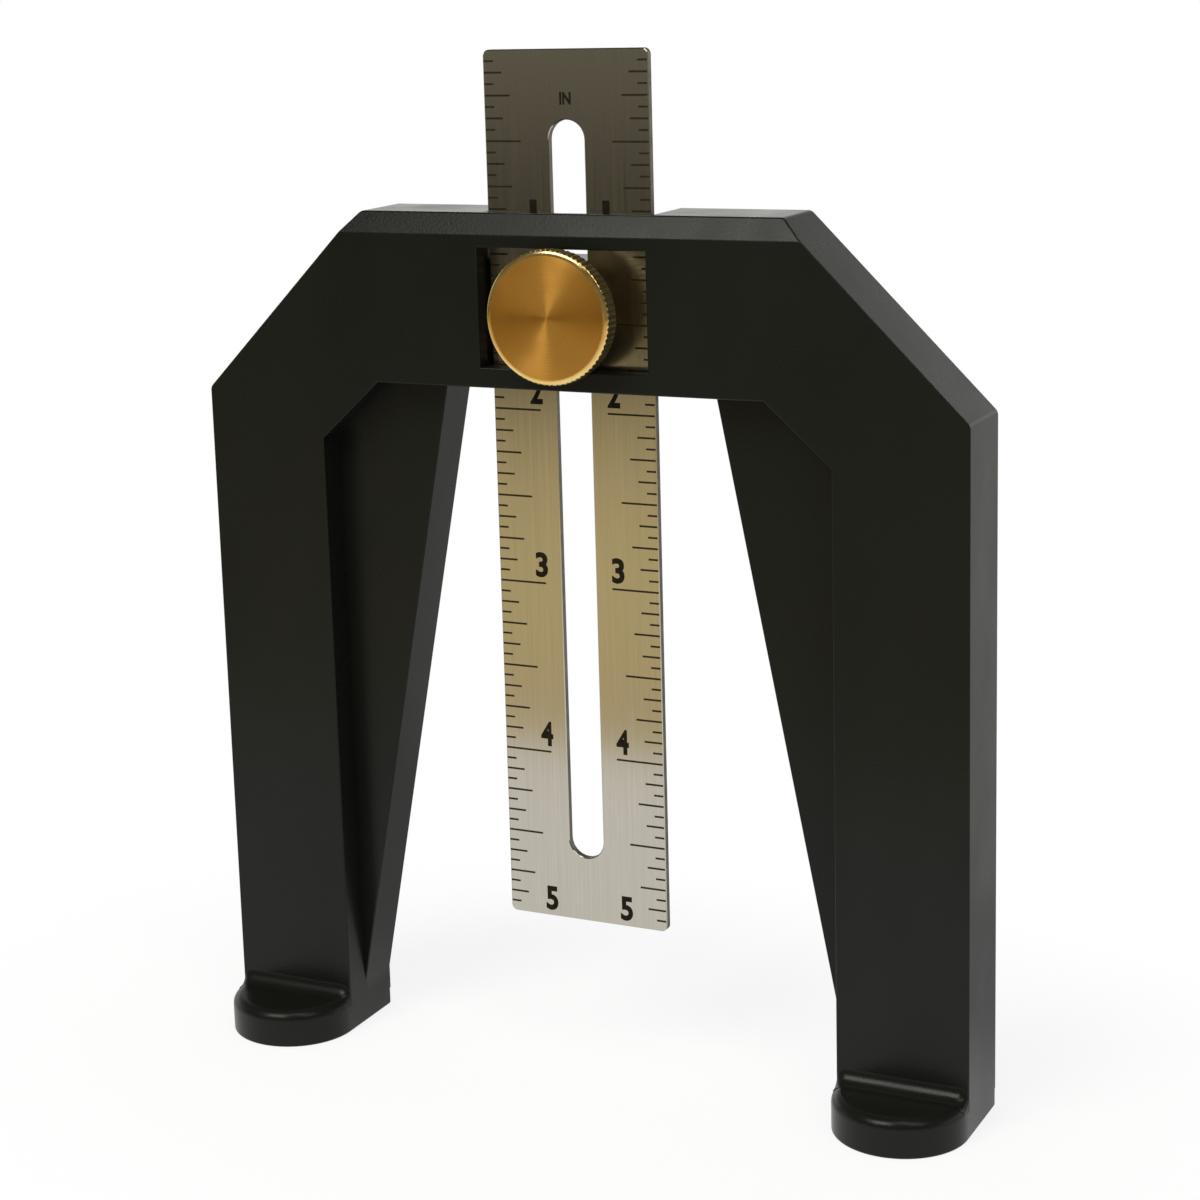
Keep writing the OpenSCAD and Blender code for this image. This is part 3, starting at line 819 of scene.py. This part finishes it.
# Pale floor: grey-white and shadowed near the gauge, fading to the white of the backdrop, and dimmer in
# mirrors behind the gauge; from below it is clear, so the soles can be seen.
def makeFloor(f):
    corners = [(-f["x"], f["front"]), (f["x"], f["front"]), (f["x"], f["back"]), (-f["x"], f["back"])]
    mesh = bpy.data.meshes.new("floor")
    mesh.from_pydata([(x * mm, y * mm, 0) for x, y in corners], [], [(0, 1, 2, 3)])
    piece = placeMesh("floor", mesh)
    material, tree, shader = newFinish("pale_floor")
    tree.nodes.remove(shader)
    place = addNode(tree, "ShaderNodeTexCoord").outputs["Object"]
    deeper = addNode(tree, "ShaderNodeMapping", {"Vector": place, "Scale": (1, f["depthScale"], 1)})
    distance = addNode(tree, "ShaderNodeVectorMath", {0: deeper.outputs[0]}, operation="LENGTH")
    fade = mapRange(tree, distance.outputs["Value"], (f["near"] * mm, f["far"] * mm), (f["white"], 1.0),
                    interpolation_type="SMOOTHSTEP")
    _, mirrored, both = backdropRays(tree)
    seen = mathNode(tree, "MULTIPLY", fade, both)
    # Painted shade: in mirrors, the floor behind the gauge has its white glow dimmed, standing in for the
    # shadow that falls there.
    depth = addNode(tree, "ShaderNodeSeparateXYZ", {0: place}).outputs["Y"]
    dim = mapRange(tree, depth, (0.0, f["dimReach"] * mm), (0.0, 1 - f["dimBehind"]))
    glow = mathNode(tree, "SUBTRACT", 1.0, mathNode(tree, "MULTIPLY", dim, mirrored))
    matt = addNode(tree, "ShaderNodeBsdfDiffuse", {"Color": (*f["colour"], 1)})
    white = addNode(tree, "ShaderNodeEmission", {"Color": (1, 1, 1, 1), "Strength": glow})
    pale = addNode(tree, "ShaderNodeMixShader", {0: seen, 1: matt.outputs[0], 2: white.outputs[0]})
    clear = addNode(tree, "ShaderNodeBsdfTransparent")
    under = addNode(tree, "ShaderNodeNewGeometry").outputs["Backfacing"]
    floorLook = addNode(tree, "ShaderNodeMixShader", {0: under, 1: pale.outputs[0], 2: clear.outputs[0]})
    tree.links.new(floorLook.outputs[0], tree.nodes["Material Output"].inputs["Surface"])
    mesh.materials.append(material)


# Studio: white backdrop for the camera, an even grey for matt surfaces, and for gloss a bright backdrop
# behind the gauge, a dim room ahead of it and a dark ceiling. Stops are [height of the direction, colour],
# and turn is where ahead passes into behind, by the direction's Y.
studio = {"even": 0.58, "turn": (-0.35, 0.25),
          "behind": [(-0.35, (0.62, 0.62, 0.59)), (-0.12, (0.74, 0.74, 0.70)), (0.05, (0.95, 0.95, 0.92)),
                     (0.18, (1.58, 1.58, 1.53)), (0.30, (0.68, 0.68, 0.64)), (0.45, (0.11, 0.11, 0.095)),
                     (0.95, (0.05, 0.05, 0.045))],
          "ahead": [(-0.40, (0.90, 0.89, 0.86)), (-0.31, (0.64, 0.53, 0.30)), (-0.27, (0.72, 0.59, 0.33)),
                    (-0.235, (0.82, 0.67, 0.36)), (-0.19, (0.70, 0.57, 0.32)), (-0.170, (0.65, 0.55, 0.30)),
                    (-0.156, (0.08, 0.068, 0.044)), (-0.10, (0.035, 0.031, 0.021)),
                    (-0.06, (0.15, 0.138, 0.108)), (-0.03, (0.22, 0.205, 0.165)), (0.3, (0.10, 0.09, 0.07)),
                    (0.95, (0.04, 0.04, 0.035))]}


def makeStudio(s):
    world = bpy.data.worlds.new("studio")
    scene.world = world
    world.use_nodes = True
    tree = world.node_tree
    way = addNode(tree, "ShaderNodeTexCoord").outputs["Generated"]
    parts = addNode(tree, "ShaderNodeSeparateXYZ", {0: way})
    height = mapRange(tree, parts.outputs["Z"], (-1.0, 1.0))
    ramps = []
    for key in ("ahead", "behind"):
        ramp = addNode(tree, "ShaderNodeValToRGB", {0: height})
        stops = ramp.color_ramp.elements
        while len(stops) < len(s[key]):
            stops.new(1.0)
        for stop, (level, colour) in zip(list(stops), s[key]):
            stop.position = (level + 1) / 2
            stop.color = (*colour, 1)
        ramps.append(ramp.outputs[0])
    turn = mapRange(tree, parts.outputs["Y"], s["turn"], interpolation_type="SMOOTHSTEP")
    camera, mirrored, _ = backdropRays(tree)
    even = mixColours(tree, mirrored, (s["even"],) * 3, mixColours(tree, turn, *ramps))
    seen = mixColours(tree, camera, even, (1, 1, 1))
    tree.links.new(seen, tree.nodes["Background"].inputs["Color"])


# Lamps aim at the crossbar: from gives the direction to the lamp, along the direction of its width, size its
# width and height, glow its brightness. Tint and aim are shared.
lamps = {"softbox": {"from": (-0.22, -0.66, 0.71), "along": (1, 0, 0), "distance": 900.0,
                     "size": (440.0, 440.0), "glow": 7.0},
         "rim_lamp": {"from": (0.40, -0.38, 0.83), "along": (0.71, -0.2, -0.41), "distance": 900.0,
                      "size": (840.0, 260.0), "glow": 2.8}}
lampTint, lampAim = (1.0, 1.0, 0.93), (0, 0, 90.0)


def makeLamp(name, look):
    data = bpy.data.lights.new(name, "AREA")
    data.shape = "RECTANGLE"
    data.size, data.size_y = look["size"][0] * mm, look["size"][1] * mm
    data.energy = look["glow"] * math.pi * data.size * data.size_y
    data.color = lampTint
    lamp = bpy.data.objects.new(name, data)
    scene.collection.objects.link(lamp)
    back = Vector(look["from"]).normalized()
    up = back.cross(Vector(look["along"])).normalized()
    turn = Matrix((up.cross(back), up, back)).transposed().to_4x4()
    lamp.matrix_world = Matrix.Translation((Vector(lampAim) + back * look["distance"]) * mm) @ turn


# Place in millimetres, angles in degrees, clip in metres.
view = {"place": (164.11, -330.92, 162.64), "azimuth": 27.012, "elevation": 11.9, "roll": -1.816,
        "sensor": 36.0, "lens": 79.647, "shift": (0.0487, -0.073), "clip": (0.01, 10.0)}


# Camera: looks from azimuth (to the right of the front) and elevation; roll tips its right-hand side.
def makeCamera(v):
    a, e, roll = (math.radians(v[k]) for k in ("azimuth", "elevation", "roll"))
    back = Vector((math.sin(a) * math.cos(e), -math.cos(a) * math.cos(e), math.sin(e)))
    level = Vector((math.cos(a), math.sin(a), 0))
    rise = back.cross(level)
    right = level * math.cos(roll) + rise * math.sin(roll)
    up = back.cross(right)
    data = bpy.data.cameras.new("camera")
    data.sensor_width = v["sensor"]
    data.lens = v["lens"]
    data.shift_x, data.shift_y = v["shift"]
    data.clip_start, data.clip_end = v["clip"]
    camera = bpy.data.objects.new("camera", data)
    scene.collection.objects.link(camera)
    turn = Matrix((right, up, back)).transposed().to_4x4()
    camera.matrix_world = Matrix.Translation(Vector(v["place"]) * mm) @ turn
    scene.camera = camera


makeFloor(floor)
makeStudio(studio)
for name, lamp in lamps.items():
    makeLamp(name, lamp)
makeCamera(view)
print("studio and camera made")
